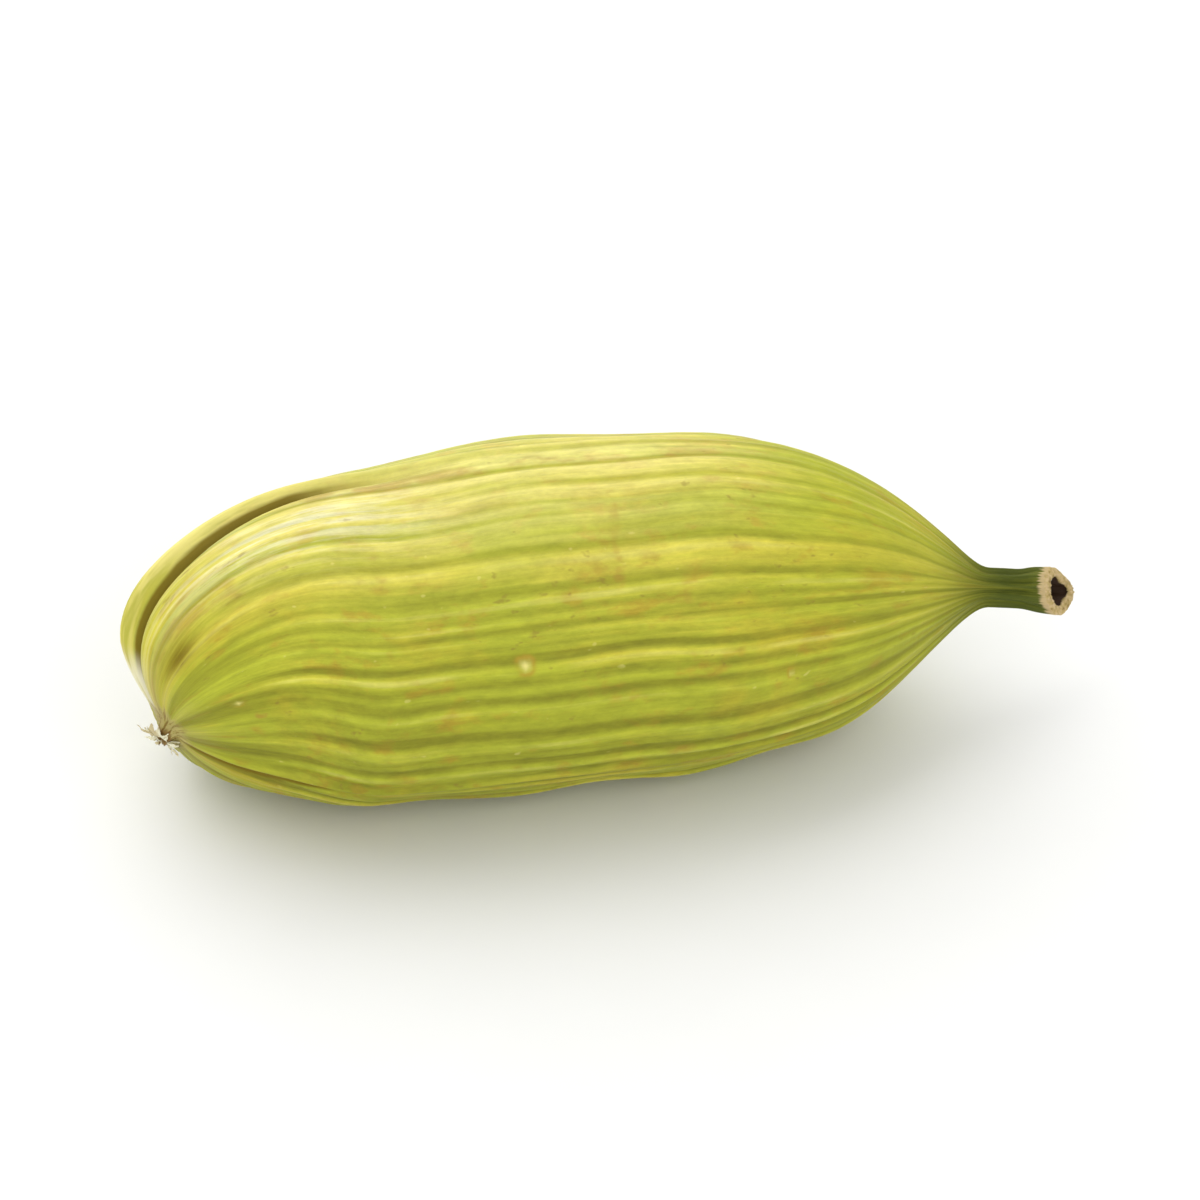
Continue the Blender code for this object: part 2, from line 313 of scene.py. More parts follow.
def cosine(value):
    return calculate("COSINE", value)


def size_of(value):
    return calculate("ABSOLUTE", value)


def above(value, least):
    return calculate("MAXIMUM", value, least)


def below(value, most):
    return calculate("MINIMUM", value, most)


def wrapped(value, reach):
    """The value brought between -reach and reach by whole turns."""
    return calculate("WRAP", value, reach, -reach)


def bell(value, width):
    share = value / width
    return calculate("EXPONENT", -(share * share))


def ramp(value, low, high, start=0.0, end=1.0):
    """Goes smoothly from start to end as the value goes from low to high."""
    tree = value.socket.id_data
    inputs = {0: value, 1: low, 2: high, 3: start, 4: end}
    node = add_node(tree, "ShaderNodeMapRange", inputs, interpolation_type="SMOOTHSTEP")
    return Field(node.outputs[0])


def split(vector):
    node = add_node(vector.socket.id_data, "ShaderNodeSeparateXYZ", {0: vector})
    return [Field(output) for output in node.outputs]


def join(*parts):
    tree = next(part.socket.id_data for part in parts if isinstance(part, Field))
    return Field(add_node(tree, "ShaderNodeCombineXYZ", dict(enumerate(parts))).outputs[0])


def stretched(vector, *shares):
    inputs = {0: vector, 1: shares}
    node = add_node(vector.socket.id_data, "ShaderNodeVectorMath", inputs, operation="MULTIPLY")
    return Field(node.outputs[0])


def noise(vector, scale=1.0, detail=2.0, roughness=0.5, **settings):
    inputs = {"Vector": vector, "Scale": scale, "Detail": detail, "Roughness": roughness}
    node = add_node(vector.socket.id_data, "ShaderNodeTexNoise", inputs, **settings)
    return Field(node.outputs[0])


# Husk, as a formula of the station along the pod and the angle round it


def cap_field(station):
    short = 1 - below(above(station / CAP_LENGTH, 0.0), 1.0)
    return calculate("SQRT", 1 - short * short)


def keel_fields(station, angle):
    """Relief of the keels and furrows, and where the furrows lie as a mask."""
    on_body = 1 - ramp(station, KEEL_FADE_START, POD_LENGTH)
    wider = 1 + FURROW_WIDENING * bell(above(station, 0.0), FURROW_WIDENING_REACH)
    relief, furrows = 0.0, 0.0
    for number in range(KEEL_COUNT):
        near_end = bell(above(station - KEEL_END_START, 0.0), KEEL_END_REACHES[number])
        ribs_away = wrapped(angle - TURN * number / KEEL_COUNT, math.pi) * (RIB_COUNT / TURN)
        furrow = bell(ribs_away - wider * FURROW_PLACES[number], wider * FURROW_WIDTH)
        height = KEEL_HEIGHT * on_body + KEEL_END_HEIGHT[number] * near_end
        deep = FURROW_END_DEPTH[number] * near_end
        relief = height * bell(ribs_away, KEEL_WIDTH) - deep * furrow + relief
        furrows = deep * furrow / FURROW_END_DEPTH[0] + furrows
    return below(cap_field(station) / KEEL_TIP_FADE, 1.0) * relief, furrows


def rib_number(ribs_round, count):
    """Number of the rib that a place lies on, the same on both sides of the seam."""
    return calculate("WRAP", calculate("ROUND", ribs_round), count * 0.5, count * -0.5)


def rib_crests(station, ribs_round, count, unevenness, at):
    """Height of the ribs, about 0 to 1, and the share by which they join near the tip."""
    drift = RIB_DRIFT * sine(station / RIB_DRIFT_LENGTH)
    uneven = 1 + unevenness * sine(RIB_PHASE_STEP * rib_number(ribs_round, count) + drift)
    uneven = uneven * ramp(noise(stretched(at, 0.22, 1.3, 1.3)), 0.32, 0.6, 0.6, 1.1)
    even = (0.5 + 0.5 * cosine(TURN * ribs_round)) ** RIB_POWER
    shift = 5.5 * noise(stretched(at, 0.14, 0.8, 0.8), detail=1.0)
    swell = ribs_round * (TURN * BROAD_RIBS) / count - shift
    broad = 0.5 + 0.5 * cosine(swell)
    parting = 2.2 * noise(stretched(at, 0.15, 1.2, 1.2), detail=1.0)
    fine = (0.5 + 0.5 * cosine(2 * swell + parting)) ** RIB_POWER
    fine = fine * ramp(noise(stretched(at, 0.3, 1.6, 1.6)), 0.3, 0.6, 0.55, 1.1)
    thread = noise(stretched(at, 0.4, 6.0, 6.0), roughness=0.6) - 0.5
    crest = 0.30 * uneven * even + 0.46 * fine + 0.44 * broad + 0.48 * thread
    joined = 0.75 * bell(station, JOINED_REACH)
    joined_rib = 0.4 + 0.5 * cosine(ribs_round * TURN / JOINED_RIBS)
    return (1 - joined) * crest + joined * joined_rib, joined


def neck_rib_relief(station, angle):
    on_neck = ramp(station, NECK_RIB_START, POD_LENGTH - RIM_LENGTH)
    near_break = ramp(station, POD_LENGTH - NECK_RIB_WEAR_LENGTH, POD_LENGTH - RIM_ROUNDING)
    return on_neck * (1 - NECK_RIB_WEAR * near_break) * NECK_RIB_HEIGHT * cosine(NECK_RIB_COUNT * angle)


def rib_fields(station, angle, radius, count, height, unevenness, at):
    """Relief of the ribs, and the masks of their crests and of each rib's own tone."""
    wobble = noise(stretched(at, 0.13, 0.85, 0.85), detail=1.0, roughness=0.4) - 0.5
    ribs_round = angle * count / TURN + 1.25 * wobble
    crest, joined = rib_crests(station, ribs_round, count, unevenness, at)
    calm = 1 - 0.66 * bell(angle * count / TURN - 3.5, 7.2)
    tall = below(height * calm, (1 + joined) * RIB_SHARE * TURN * radius / count)
    relief = tall * (crest - RIB_MIDDLE) + neck_rib_relief(station, angle)
    inputs = {"W": rib_number(ribs_round, count)}
    tone = add_node(at.socket.id_data, "ShaderNodeTexWhiteNoise", inputs, noise_dimensions="1D")
    return relief, crest, Field(tone.outputs["Value"])


def seed_relief(station, angle, height):
    face = calculate("FLOOR", angle / (TURN / KEEL_COUNT))
    face = calculate("FLOORED_MODULO", face, float(KEEL_COUNT))
    on_second = calculate("COMPARE", face, 1.0, 0.5)
    on_third = calculate("COMPARE", face, 2.0, 0.5)
    phase = on_second * SEED_PHASES[1] + on_third * SEED_PHASES[2]
    second, third = SEED_SHARES[1] - SEED_SHARES[0], SEED_SHARES[2] - SEED_SHARES[0]
    share = SEED_SHARES[0] + second * on_second + third * on_third
    across = share * size_of(sine(angle * KEEL_COUNT / 2))
    on_body = ramp(station, 0.0, SEED_RISE_END) * (1 - ramp(station, SEED_FADE_START, SEED_FADE_END))
    return height * on_body * across * cosine(TURN * (station / SEED_PITCH + phase))


def dent_relief(station, turned):
    relief = 0.0
    for depth, middle, half_length, angle, half_angle in DENTS:
        away = wrapped(turned - angle, math.pi)
        relief = relief - depth * bell(station - middle, half_length) * bell(away, half_angle)
    return relief


def dot_distance(station, angle):
    """Distance over the skin to the nearest pale raised dot, in millimetres for a full-sized one."""
    nearest = None
    for along, ribs, size in DOTS:
        across = wrapped(angle - ribs * TURN / RIB_COUNT, math.pi) * (GIRTH_RADIUS / MM)
        length = station / MM - along
        distance = calculate("SQRT", across * across + length * length) / size
        nearest = distance if nearest is None else below(nearest, distance)
    return nearest


def fold_share(station, ribs_away):
    return bell(ribs_away - FOLD[1], 0.7) * bell(station - FOLD[0], 0.3)


def rest_share(station, turned):
    away = wrapped(turned - (math.pi + KEEL_LEAN), math.pi)
    return bell(station - REST_STATION, REST_HALF_LENGTH) * bell(away, REST_HALF_ANGLE)


def twisted(station, angle):
    """The angle after the ribs' wander, their crowding and the twist at the blossom end."""
    wander = sine(station / RIB_WANDER_LENGTH) * sine(2 * angle + RIB_WANDER_PHASE)
    angle_out = angle - FACE_SPREAD * cosine(angle) + RIB_WANDER * wander
    angle_out += RIB_CROWDING * sine(RIB_CROWDS * angle + RIB_CROWD_PHASE)
    return angle_out - END_TWIST * (1 - ramp(station, 0.0, END_TWIST_REACH))


def cut_back(station, up, front):
    """How far the slanting break lies back from a square end, towards the end of the neck."""
    near_end = ramp(station, POD_LENGTH - CUT_REACH, POD_LENGTH - RIM_ROUNDING)
    towards = up * math.cos(CUT_ANGLE) + front * math.sin(CUT_ANGLE)
    return near_end * (CUT_BACK + CUT_SLANT * towards)


def turn_tip(station, up, front):
    """Rolls the rounded end about its middle, so that the ribs meet low on the front of it."""
    ahead = 1 - station / CAP_LENGTH
    turn = TIP_TURN * ramp(ahead, 0.0, 1.0)
    up_share, front_share = math.cos(TIP_TURN_ANGLE), math.sin(TIP_TURN_ANGLE)
    out = (up * up_share + front * front_share) / GIRTH_RADIUS
    rolled_ahead = ahead * cosine(turn) - out * sine(turn)
    moved = (out * (cosine(turn) - 1) + ahead * sine(turn)) * GIRTH_RADIUS
    return CAP_LENGTH * (1 - rolled_ahead), up + moved * up_share, front + moved * front_share


def bent(station, up, front):
    """Places a point of the straight pod on its arched and turned axis."""
    station -= cut_back(station, up, front)
    station, up, front = turn_tip(station, up, front)
    fall = POD_LENGTH - ARCH_FALL_START
    run = above(station - ARCH_FALL_START, 0.0) / fall
    turn_length = POD_LENGTH - NECK_TURN_START
    turn = above(station - NECK_TURN_START, 0.0) / turn_length
    along = station + up * run * (2 * ARCH_HEIGHT * ARCH_FALL / fall)
    along -= front * turn * (2 * NECK_TURN / turn_length)
    up = up + ARCH_HEIGHT * (cap_field(station) - ARCH_FALL * run * run)
    front = front + NECK_TURN * turn * turn
    rounded = calculate("SQRT", up * up + OVERHANG_ONSET**2) - OVERHANG_ONSET
    fade = calculate("EXPONENT", above(station, 0.0) / -OVERHANG_REACH)
    along -= (up + rounded) * (OVERHANG / 2) * fade
    cos_lean, sin_lean = math.cos(KEEL_LEAN), math.sin(KEEL_LEAN)
    side = up * sin_lean - front * cos_lean - HUSK_MIDDLE[1]
    high = up * cos_lean + front * sin_lean - HUSK_MIDDLE[2]
    return join(along - HUSK_MIDDLE[0], side, above(high, 0.0))


def store(tree, geometry, name, field, data_type="FLOAT"):
    inputs = {"Geometry": geometry, "Name": name, "Value": field}
    node = add_node(tree, "GeometryNodeStoreNamedAttribute", inputs, data_type=data_type, domain="POINT")
    return Field(node.outputs[0])


def tree_inputs(tree, sockets):
    """Adds the named inputs of a Geometry Nodes tree and returns each as a field."""
    tree.interface.new_socket("Geometry", in_out="INPUT", socket_type="NodeSocketGeometry")
    for name, kind in sockets:
        tree.interface.new_socket(name, in_out="INPUT", socket_type="NodeSocket" + kind)
    tree.interface.new_socket("Geometry", in_out="OUTPUT", socket_type="NodeSocketGeometry")
    node = tree.nodes.new("NodeGroupInput")
    return [Field(output) for output in node.outputs[:-1]]


def tree_output(tree, geometry, material):
    """Ends a tree: real meshes, smooth faces and the material."""
    real = add_node(tree, "GeometryNodeRealizeInstances", {0: geometry})
    smooth = add_node(tree, "GeometryNodeSetShadeSmooth", {0: Field(real.outputs[0])})
    inputs = {"Geometry": Field(smooth.outputs[0]), "Material": material}
    done = add_node(tree, "GeometryNodeSetMaterial", inputs)
    add_node(tree, "NodeGroupOutput", {0: Field(done.outputs[0])})


def merged(tree, geometry, distance):
    """Closes a seam and its poles."""
    inputs = {"Geometry": geometry, "Distance": distance}
    return Field(add_node(tree, "GeometryNodeMergeByDistance", inputs).outputs[0])


def moved_to(tree, geometry, point):
    inputs = {"Geometry": geometry, "Position": point}
    return Field(add_node(tree, "GeometryNodeSetPosition", inputs).outputs[0])


SkinPlace = namedtuple("SkinPlace", "station angle turned radius zone at")


def skin_places(tree, outline, steps):
    """A flat grid, and where each of its points lies on the skin."""
    size = add_node(tree, "GeometryNodeAttributeDomainSize", {0: outline}, component="MESH")
    rings = Field(size.outputs["Point Count"])
    grid = add_node(tree, "GeometryNodeMeshGrid", {0: 1.0, 1: 1.0, 2: steps + 1, 3: rings})
    place = Field(tree.nodes.new("GeometryNodeInputPosition").outputs[0])
    across, lengthways, _ = split(place)
    row = (lengthways + 0.5) * (rings - 1)
    inputs = {"Geometry": outline, "Value": place, "Index": calculate("ROUND", row)}
    sample = add_node(tree, "GeometryNodeSampleIndex", inputs, data_type="FLOAT_VECTOR", domain="POINT")
    radius, station, zone = split(Field(sample.outputs[0]))
    angle = across * TURN
    girth = GIRTH_RADIUS / MM
    at = join(station / MM, cosine(angle) * girth, sine(angle) * girth)
    return Field(grid.outputs[0]), SkinPlace(station, angle, twisted(station, angle), radius, zone, at)


def small_relief(skin, dot, crinkle):
    """Relief of the pale dots, the short fold, and the creases and dents of the dry husk."""
    relief = DOT_HEIGHT * bell(dot, 0.1) - DOT_RING_DEPTH * bell(dot - 0.2, 0.08)
    relief -= FOLD_DEPTH * fold_share(skin.station / MM, skin.angle * RIB_COUNT / TURN)
    creased = noise(stretched(skin.at, 3.2, 1.1, 1.1), detail=3.0) - 0.5
    dented = noise(stretched(skin.at, 0.35, 0.5, 0.5), detail=1.0) - 0.5
    body = below(skin.radius / CRINKLE_FULL_RADIUS, 1.0)
    return relief + body * crinkle * (creased * 0.5 + dented * 2)


def scar_share(skin):
    near_pole = 1 - ramp(skin.radius, SCAR_RADIUS, 0.40 * MM)
    return near_pole * (1 - ramp(skin.station, 0.5 * MM, 1.0 * MM))


def torn_edges(skin, scar):
    """How far the torn edges of the scar and of the broken neck lie along the pod."""
    broken = noise(stretched(skin.at, 0.0, 2.0, 2.0), detail=4.0, roughness=0.7) - 0.5
    broken = broken * (1.3 - 1.3 * ramp(skin.zone, 0.6, 1.0))
    round_scar = join(cosine(skin.angle) * 2.2, sine(skin.angle) * 2.2, skin.radius / (0.15 * MM))
    ragged = noise(round_scar, detail=3.0) - 0.5
    return TORN_HEIGHT * (broken + 1.8 * ragged * scar * ramp(skin.radius, 0.0, 0.15 * MM))


def lobe_share(station, zone):
    """How three-sided the section is, on the body, the neck and in the hollow."""
    neck = ramp(station, LOBE_CHANGE_START, POD_LENGTH)
    return BODY_LOBE + neck * (NECK_LOBE - BODY_LOBE) + (1 - ramp(zone, 0.0, 0.5)) * HOLLOW_LOBE


def husk_tree():
    """Wraps a grid into the husk by the pod's formula."""
    tree = bpy.data.node_groups.new("grow_husk", "GeometryNodeTree")
    sockets = (
        ("Steps Round", "Int"),
        ("Ribs", "Float"),
        ("Rib Height", "Float"),
        ("Rib Unevenness", "Float"),
        ("Seed Height", "Float"),
        ("Crinkle", "Float"),
        ("Merge Distance", "Float"),
        ("Material", "Material"),
    )
    fields = tree_inputs(tree, sockets)
    outline, steps, count, rib_height, unevenness, seed_height, crinkle, merge, material = fields
    shape, skin = skin_places(tree, outline, steps)
    station, angle, turned, radius, zone, at = skin

    keel_relief, furrow = keel_fields(station, angle)
    ribs, crest, tone = rib_fields(station, angle, radius, count, rib_height, unevenness, at)
    dot = dot_distance(station, angle)
    scar = scar_share(skin)
    relief = ribs + keel_relief + seed_relief(station, angle, seed_height) + dent_relief(station, turned)
    relief += small_relief(skin, dot, crinkle)
    relief = relief * (1 - rest_share(station, turned)) * ramp(zone, 0.6, 1.0)
    reach = radius * (1 + lobe_share(station, zone) * cosine(KEEL_COUNT * angle)) + relief
    point = bent(station + torn_edges(skin, scar), reach * cosine(turned), reach * sine(turned))

    masks = {"crest": crest, "tone": tone, "furrow": furrow, "dot": dot, "zone": zone, "scar": scar}
    for name, field in masks.items():
        shape = store(tree, shape, name, field)
    shape = store(tree, shape, "grown_at", at, "FLOAT_VECTOR")
    tree_output(tree, merged(tree, moved_to(tree, shape, point), merge), material)
    return tree


def random_between(tree, least, most, seed, number):
    """A random number for each point, or three of them where the limits are vectors."""
    if isinstance(least, tuple):
        inputs = {0: least, 1: most, "ID": number, "Seed": seed}
        node = add_node(tree, "FunctionNodeRandomValue", inputs, data_type="FLOAT_VECTOR")
        return Field(node.outputs[0])
    node = add_node(tree, "FunctionNodeRandomValue", {2: least, 3: most, "ID": number, "Seed": seed})
    return Field(node.outputs[1])


def shred_strip(tree, place, length, width, thickness, curl, merge):
    """One closed strip that widens, tapers and bends out as it rises from its root."""
    grid = add_node(tree, "GeometryNodeMeshGrid", {0: 1.0, 1: 1.0, 2: 17, 3: 15})
    across, lengthways, _ = split(place)
    angle = across * TURN
    along = lengthways + 0.5
    taper = calculate("SQRT", above(sine(along**0.6 * math.pi), 0.0))
    bend = curl * length * along * along
    point = join(width * taper * cosine(angle), thickness * taper * sine(angle) - bend, length * along)
    strip = store(tree, Field(grid.outputs[0]), "along", along)
    return merged(tree, moved_to(tree, strip, point), merge)


def crumpled(tree, geometry, place):
    crumple = add_node(tree, "ShaderNodeTexNoise", {"Vector": place, "Scale": 9.0 / MM, "Detail": 2.0})
    inputs = {0: Field(crumple.outputs["Color"]), 1: (0.5, 0.5, 0.5)}
    centred = add_node(tree, "ShaderNodeVectorMath", inputs, operation="SUBTRACT")
    offset = stretched(Field(centred.outputs[0]), CRUMPLE, CRUMPLE, CRUMPLE)
    inputs = {"Geometry": geometry, "Offset": offset}
    return Field(add_node(tree, "GeometryNodeSetPosition", inputs).outputs[0])


def shreds_tree():
    """Dry papery shreds round the scar of the flower: flattened tubes that taper and curl out."""
    tree = bpy.data.node_groups.new("grow_shreds", "GeometryNodeTree")
    sockets = (
        ("Shreds", "Int"),
        ("Length", "Float"),
        ("Width", "Float"),
        ("Thickness", "Float"),
        ("Ring Radius", "Float"),
        ("Curl", "Float"),
        ("Seed", "Int"),
        ("Place", "Vector"),
        ("Facing", "Vector"),
        ("Merge Distance", "Float"),
        ("Material", "Material"),
    )
    fields = tree_inputs(tree, sockets)
    _, count, length, width, thickness, ring, curl, seed, scar_at, facing, merge, material = fields
    place = Field(tree.nodes.new("GeometryNodeInputPosition").outputs[0])
    strip = shred_strip(tree, place, length, width, thickness, curl, merge)

    circle = add_node(tree, "GeometryNodeMeshCircle", {0: count, 1: ring})
    number = Field(tree.nodes.new("GeometryNodeInputIndex").outputs[0])
    turn = number * TURN / count + math.pi / 2 + random_between(tree, -0.5, 0.5, seed, number)
    upper = above(sine(number * TURN / count), 0.0)
    tilt = random_between(tree, 0.55, 1.35, seed + 1, number) + 0.45 * upper
    shares = random_between(tree, (0.5, 1.0, 0.35), (1.4, 1.6, 1.0), seed + 2, number)
    wide, thick, long = split(shares)
    inputs = {
        "Points": Field(circle.outputs[0]),
        "Instance": strip,
        "Rotation": join(tilt, 0.0, turn),
        "Scale": join(wide, thick, long * (1 + 0.25 * upper)),
    }
    grown = add_node(tree, "GeometryNodeInstanceOnPoints", inputs)
    real = add_node(tree, "GeometryNodeRealizeInstances", {0: Field(grown.outputs[0])})
    shreds = crumpled(tree, Field(real.outputs[0]), place)
    inputs = {"Geometry": shreds, "Translation": scar_at, "Rotation": facing}
    turned = add_node(tree, "GeometryNodeTransform", inputs)
    tree_output(tree, Field(turned.outputs[0]), material)
    return tree


def run_tree(name, mesh, tree, values):
    """Runs a Geometry Nodes tree on a guide mesh and returns the result as a plain object."""
    guide = bpy.data.objects.new(name + "_guide", mesh)
    bpy.context.scene.collection.objects.link(guide)
    modifier = guide.modifiers.new("grow", "NODES")
    modifier.node_group = tree
    for item in tree.interface.items_tree:
        if item.in_out == "INPUT" and item.name in values:
            modifier[item.identifier] = values[item.name]
    graph = bpy.context.evaluated_depsgraph_get()
    made = bpy.data.meshes.new_from_object(guide.evaluated_get(graph))
    bpy.data.objects.remove(guide)
    made.name = name
    thing = bpy.data.objects.new(name, made)
    bpy.context.scene.collection.objects.link(thing)
    return thing


# Materials


def new_material(name):
    material = bpy.data.materials.new(name)
    material.use_nodes = True
    tree = material.node_tree
    return material, tree, tree.nodes["Principled BSDF"]


def stored(tree, name, output="Fac"):
    """An attribute that a piece's tree stored on its mesh."""
    return Field(add_node(tree, "ShaderNodeAttribute", attribute_name=name).outputs[output])


def mask(field, name):
    return stored(field.socket.id_data, name)


def blend(share, first, second):
    """Mixes two colours, each a field or three numbers, by a share."""
    node = add_node(share.socket.id_data, "ShaderNodeMix", data_type="RGBA", clamp_factor=True)
    connect(node.id_data, node.inputs[0], share)
    for socket, colour in ((node.inputs[6], first), (node.inputs[7], second)):
        connect(node.id_data, socket, colour if isinstance(colour, Field) else (*colour, 1.0))
    return Field(node.outputs[2])


def shaded(colour, share):
    inputs = {0: colour, "Scale": share}
    node = add_node(colour.socket.id_data, "ShaderNodeVectorMath", inputs, operation="SCALE")
    return Field(node.outputs[0])


def spot(at, station, ribs, length, width):
    """1 inside an oval mark on the skin and 0 outside it, given in millimetres and ribs round."""
    turn = ribs * TURN / RIB_COUNT
    girth = GIRTH_RADIUS / MM
    middle = (station, girth * math.cos(turn), girth * math.sin(turn))
    tree = at.socket.id_data
    away = add_node(tree, "ShaderNodeVectorMath", {0: at, 1: middle}, operation="SUBTRACT")
    away = stretched(Field(away.outputs[0]), 1 / length, 1 / width, 1 / width)
    distance = add_node(tree, "ShaderNodeVectorMath", {0: away}, operation="LENGTH")
    return 1 - ramp(Field(distance.outputs["Value"]), 0.2, 1.3)


def thread_noise(at):
    return noise(stretched(at, 0.7, 6.0, 6.0), detail=3.0, roughness=0.65)


def rib_colour(at, pale_and_lit_upper, shaded_lower_side, streak, settings):
    """Green and yellow ribs, the olive and darker grooves between them, and their stains; on the upper side
    the grooves give way to the crest colour, partly as painted light.
    """
    crest, tone = mask(at, "crest"), mask(at, "tone")
    patch = noise(stretched(at, 0.22, 0.45, 0.45), detail=3.0, roughness=0.6)
    ripe = ramp(patch + 0.35 * (tone - 0.5) + 0.35 * (streak - 0.5) - 0.12 * shaded_lower_side, 0.37, 0.70)
    high = blend(ripe, settings.green, settings.yellow)
    shown = ramp(crest + 0.6 * (streak - 0.5), 0.2, 0.9)
    colour = blend(shown + (1 - shown) * pale_and_lit_upper, settings.olive, high)
    warm = ramp(noise(stretched(at, 0.4, 0.7, 0.7), detail=4.0, roughness=0.65), 0.5, 0.7)
    colour = blend(warm * 0.4, colour, settings.amber)
    stain = noise(stretched(at, 1.3, 2.4, 2.4), detail=3.0, roughness=0.6) + 0.25 * (patch - 0.5)
    colour = blend(ramp(stain, 0.52, 0.70) * 0.6, colour, settings.stain)
    groove = (1 - ramp(crest + 0.3 * (streak - 0.5), 0.1, 0.42)) * ramp(patch, 0.4, 0.6, 0.4, 0.8)
    colour = blend(groove * (1 - pale_and_lit_upper), colour, settings.groove)
    vein = ramp(crest, 0.75, 1.15) * ramp(noise(stretched(at, 0.5, 3.0, 3.0)), 0.35, 0.6)
    return blend(vein * 0.5, colour, settings.vein)


def add_cream_band(colour, at, ribs_away, streak, settings):
    """Cream band beside the top keel, partly pale skin and partly painted light, with a painted highlight
    streak and broken brown lines in it.
    """
    station = split(at)[0]
    # pale skin and painted light on the band beside the top keel, which faces the lamp
    band = bell(ribs_away - 1.5, 3.4) * ramp(station, 0.8, 2.5) * (1 - ramp(station, 8.5, 13.0))
    band = band * (0.35 + 0.6 * streak) * ramp(mask(at, "crest"), -0.1, 0.7)
    colour = blend(band, colour, settings.cream)
    # painted highlight: a pale streak near the top keel's furrow
    highlight_streak = bell(ribs_away - 2.9, 1.5) * bell(station - 3.0, 2.0) * ramp(streak, 0.4, 0.62)
    colour = blend(highlight_streak * 0.55, colour, settings.paper)
    line = bell(ribs_away - 1.1, 0.45) + 0.35 * bell(ribs_away - 3.5, 0.4)
    line = line * ramp(station, 2.5, 3.5) * (1 - ramp(station, 9.5, 11.0))
    broken = ramp(noise(stretched(at, 0.6, 1.0, 1.0), detail=4.0, roughness=0.7), 0.42, 0.58)
    return blend(line * broken * 0.5, colour, settings.rust)


def husk_colour(at, ribs_away, settings):
    """Colour of the ribs and the cream band, shaded by speckles and fibres, with painted shade on the lower
    side.
    """
    streak = noise(stretched(at, 0.5, 7.0, 7.0), detail=4.0, roughness=0.65)
    # painted shade: the lower side is made 0.12 darker at the end, and greener in rib_colour
    shaded_lower_side = ramp(size_of(ribs_away), 8.5, 14.0)
    # pale skin and painted light: the upper side, facing the lamp, shows its crest colour over the olive and
    # the dark grooves
    pale_and_lit_upper = 0.62 * bell(ribs_away - 3.2, 5.0)
    colour = rib_colour(at, pale_and_lit_upper, shaded_lower_side, streak, settings)
    colour = add_cream_band(colour, at, ribs_away, streak, settings)
    speckle = noise(stretched(at, 3.0, 9.0, 9.0), detail=3.0, roughness=0.7)
    mottle = noise(stretched(at, 1.1, 2.6, 2.6), detail=3.0, roughness=0.6)
    fibre = noise(stretched(at, 0.3, 13.0, 13.0), detail=3.0, roughness=0.6)
    lower = ramp(ribs_away, 6.0, 10.0) * (1 - ramp(ribs_away, 13.0, 17.0))
    grain = 0.5 * (speckle - 0.5) + 0.35 * (mottle - 0.5) + 0.38 * (fibre - 0.5)
    grain += 0.16 * lower * (mask(at, "crest") - 0.5)
    return shaded(colour, 0.96 - 0.12 * shaded_lower_side + grain)


def jittered(at):
    """A place on the skin, moved a little at random."""
    tree = at.socket.id_data
    shift = add_node(tree, "ShaderNodeTexNoise", {"Vector": at, "Scale": 4.0, "Detail": 3.0})
    inputs = {0: Field(shift.outputs["Color"]), 1: (0.5, 0.5, 0.5)}
    centred = add_node(tree, "ShaderNodeVectorMath", inputs, operation="SUBTRACT")
    offset = stretched(Field(centred.outputs[0]), 0.3, 0.3, 0.3)
    moved = add_node(tree, "ShaderNodeVectorMath", {0: at, 1: offset}, operation="ADD")
    return Field(moved.outputs[0])


def add_flecks(colour, at, settings):
    """Brown and pale flecks, the rust-brown marks and the pale dots with their rings."""
    fleck = noise(stretched(at, 3.2, 5.5, 5.5), roughness=0.6)
    where = noise(stretched(at, 0.3, 0.3, 0.3), detail=1.0)
    colour = blend(ramp(fleck + 0.3 * (where - 0.5), 0.68, 0.80) * 0.4, colour, settings.brown)
    pale = noise(stretched(at, 4.0, 6.0, 6.0), detail=1.0)
    colour = blend(ramp(pale, 0.74, 0.82) * 0.3, colour, settings.cream)
    near = jittered(at)
    patchy = ramp(noise(stretched(at, 2.0, 6.0, 6.0)), 0.35, 0.6)
    for place, ribs, length, width, strength in MARKS:
        colour = blend(spot(near, place, ribs, length, width) * patchy * strength, colour, settings.rust)
    dot = mask(at, "dot") + 0.12 * (noise(at, scale=5.0) - 0.5)
    ring = bell(dot - 0.16, 0.06) * ramp(noise(at, scale=2.4, detail=1.0), 0.42, 0.6)
    colour = blend(ring * (0.2 + 0.5 * patchy), colour, settings.stain)
    return blend(bell(dot, 0.085) * 0.85, colour, settings.cream)


def add_keel_marks(colour, at, ribs_away, settings):
    """Pale crest of the top keel, partly painted highlight, its fibres, the furrows and the short fold
    darkened as painted shade, and the frayed patch at the tip.
    """
    station = split(at)[0]
    thread = thread_noise(at)
    # pale papery crest of the top keel, brightened partly as a painted highlight
    edge = bell(station - 1.2, 2.6) * bell(ribs_away, 0.5) * ramp(thread, 0.35, 0.62, 0.35, 0.95)
    colour = blend(edge, colour, settings.cream)
    lined = bell(station - 1.0, 3.0) * bell(ribs_away + 0.3, 1.1)
    colour = blend(lined * (1 - ramp(thread, 0.38, 0.5)) * 0.55, colour, settings.olive)
    # painted shade: the furrow beside each keel, and the short fold, are coloured dark as the shade in their
    # creases
    furrow = ramp(mask(at, "furrow") + 0.3 * (thread - 0.5), 0.12, 0.30)
    furrow = above(furrow, fold_share(station, ribs_away) * ramp(thread, 0.3, 0.5, 0.5, 1.0))
    fading = 1 - 0.75 * ramp(station, 2.9, 4.1)
    colour = blend(furrow * fading * 0.94, colour, settings.furrow)
    frayed = bell(ribs_away - 0.2, 2.2) * (1 - ramp(station, 0.2, 0.5)) * ramp(thread, 0.36, 0.5)
    return blend(frayed * 0.9, colour, settings.paper)


